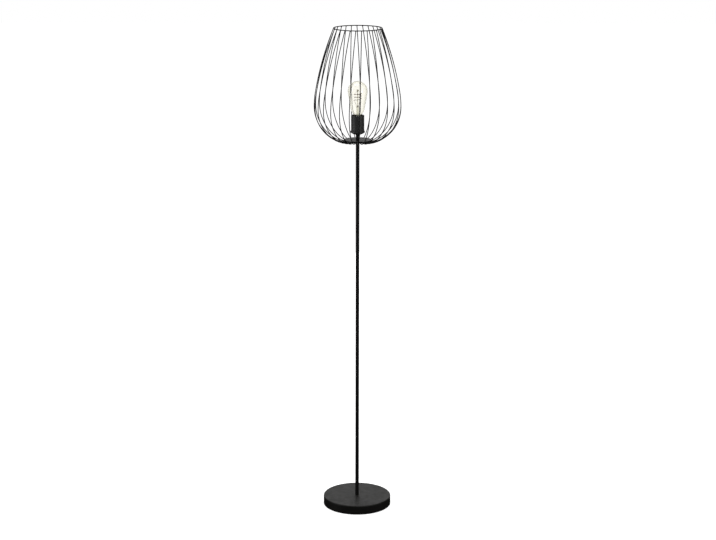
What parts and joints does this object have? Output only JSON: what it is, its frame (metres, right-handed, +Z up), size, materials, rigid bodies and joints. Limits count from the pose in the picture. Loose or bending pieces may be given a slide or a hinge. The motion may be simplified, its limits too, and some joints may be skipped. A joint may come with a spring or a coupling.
{
  "type": "wire cage floor lamp",
  "caption": "Floor lamp with a round weighted base, a slim straight pole and an open bulb-shaped cage of bent wires round an upright clear screw-cap bulb.",
  "frame": {"origin": "centre of the underside of the base, where the felt pad meets the floor", "axes": "+Z up along the pole, -Y to the front, +Y to the cord inlet at the rear, +X to the right as seen from the front"},
  "size_m": [0.2761, 0.2764, 1.5748],
  "materials": {
    "base_paint": "matt fine-textured charcoal black powder coat",
    "frame_paint": "matt black powder coat",
    "holder_paint": "satin black lacquer",
    "cast_iron": "as cast, dipped in primer",
    "felt": "pressed black felt",
    "bushing": "moulded black nylon",
    "zinc": "zinc plated",
    "insulation": "black phenolic moulding",
    "contact_brass": "rolled brass",
    "solder": "dull solder",
    "black_glass": "black glass",
    "cap_metal": "rolled, nickel tone",
    "bulb_glass": "clear with a pale warm tint",
    "stem_glass": "clear drawn glass",
    "support_wire": "drawn wire",
    "filament": "dark amber carbon look",
    "lead_sheath": "black sheathed lead"
  },
  "bodies": {
    "lamp": {"base_pad": "felt", "base_weight": "cast_iron", "base_cover": "base_paint", "cord_bushing": "bushing", "base_washer": "zinc", "base_lock_washer": "zinc", "base_nut": "zinc", "foot_nipple": "zinc", "pole_lower": "frame_paint", "pole_middle": "frame_paint", "pole_upper": "frame_paint", "joint_nipple_lower": "zinc", "joint_nipple_upper": "zinc", "top_nipple": "zinc", "cage_plate": "frame_paint", "cage_ring": "frame_paint", "cage_wire_01": "frame_paint", "cage_wire_02": "frame_paint", "cage_wire_03": "frame_paint", "cage_wire_04": "frame_paint", "cage_wire_05": "frame_paint", "cage_wire_06": "frame_paint", "cage_wire_07": "frame_paint", "cage_wire_08": "frame_paint", "cage_wire_09": "frame_paint", "cage_wire_10": "frame_paint", "cage_wire_11": "frame_paint", "cage_wire_12": "frame_paint", "cage_wire_13": "frame_paint", "cage_wire_14": "frame_paint", "cage_wire_15": "frame_paint", "cage_wire_16": "frame_paint", "cage_wire_17": "frame_paint", "cage_wire_18": "frame_paint", "cage_wire_19": "frame_paint", "cage_wire_20": "frame_paint", "cage_wire_21": "frame_paint", "cage_wire_22": "frame_paint", "cage_wire_23": "frame_paint", "cage_wire_24": "frame_paint", "cage_wire_25": "frame_paint", "cage_wire_26": "frame_paint", "cage_wire_27": "frame_paint", "neck_tube": "frame_paint", "holder_cap": "holder_paint", "holder_nut": "zinc", "holder_insert": "insulation", "holder_thread_shell": "contact_brass", "holder_contact": "contact_brass", "terminal_screws": "zinc", "holder_sleeve": "holder_paint", "inner_lead": "lead_sheath"},
    "bulb_foot": {"bulb_insulator": "black_glass", "bulb_tip": "solder"},
    "bulb": {"bulb_cap": "cap_metal", "bulb_glass": "bulb_glass", "bulb_stem": "stem_glass", "bulb_supports": "support_wire", "bulb_filament": "filament"}
  },
  "joints": [
    {"name": "bulb_rise", "type": "slide", "parent": "lamp", "child": "bulb_foot", "axis": [0, 0, 1], "range_m": [0, 0.01453]},
    {"name": "bulb_turn", "type": "hinge", "parent": "bulb_foot", "child": "bulb", "pos_m": [0, 0, 1.2845], "axis": [0, 0, 1], "range_deg": [0, 1440]}
  ],
  "couplings": [
    {"joint": "bulb_rise", "follows": "bulb_turn", "m_per_rad": 0.00057751}
  ]
}
